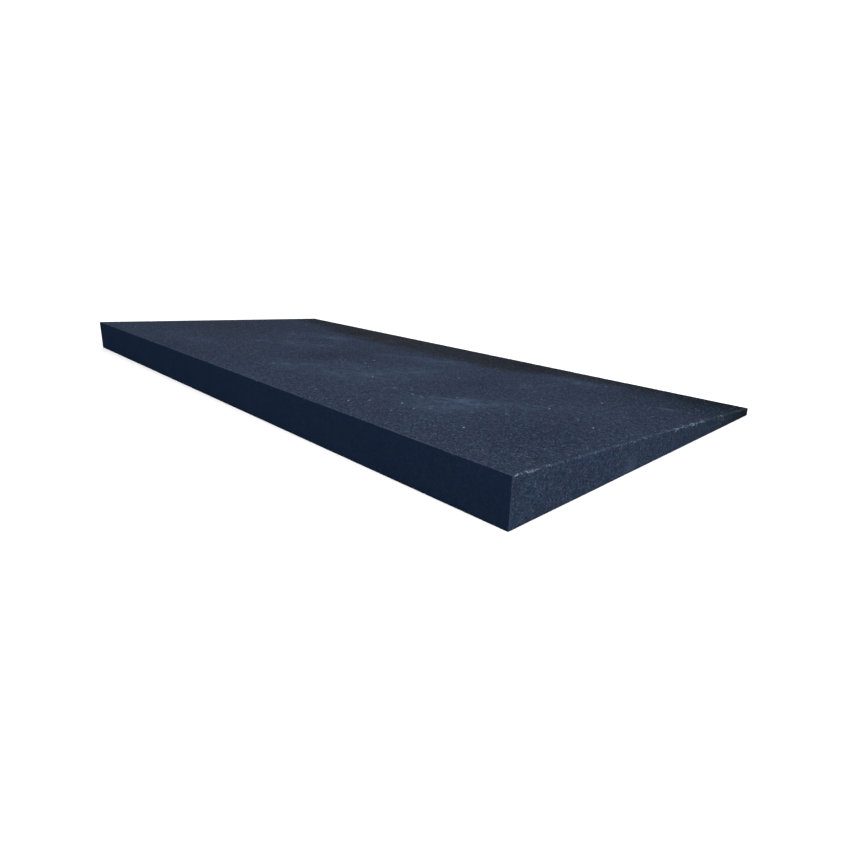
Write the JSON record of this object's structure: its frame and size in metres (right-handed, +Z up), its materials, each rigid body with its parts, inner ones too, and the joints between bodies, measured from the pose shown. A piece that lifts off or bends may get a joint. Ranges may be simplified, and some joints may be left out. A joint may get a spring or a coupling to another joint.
{
  "type": "granite slab",
  "caption": "Dark granite slab, rectangular in plan, with a flat underside and a flat top that slopes from a thick long edge to a thin long edge.",
  "frame": {"origin": "centre of the flat underside, which rests on the surface below", "axes": "+X along the slab's length, +Y from the thick long edge to the thin long edge, +Z up"},
  "size_m": [1, 0.5, 0.05],
  "materials": {
    "granite": "honed, matt, fine-grained dark blue-grey stone with pale flecks"
  },
  "bodies": {
    "root": {"granite_slab": "granite"}
  },
  "joints": []
}
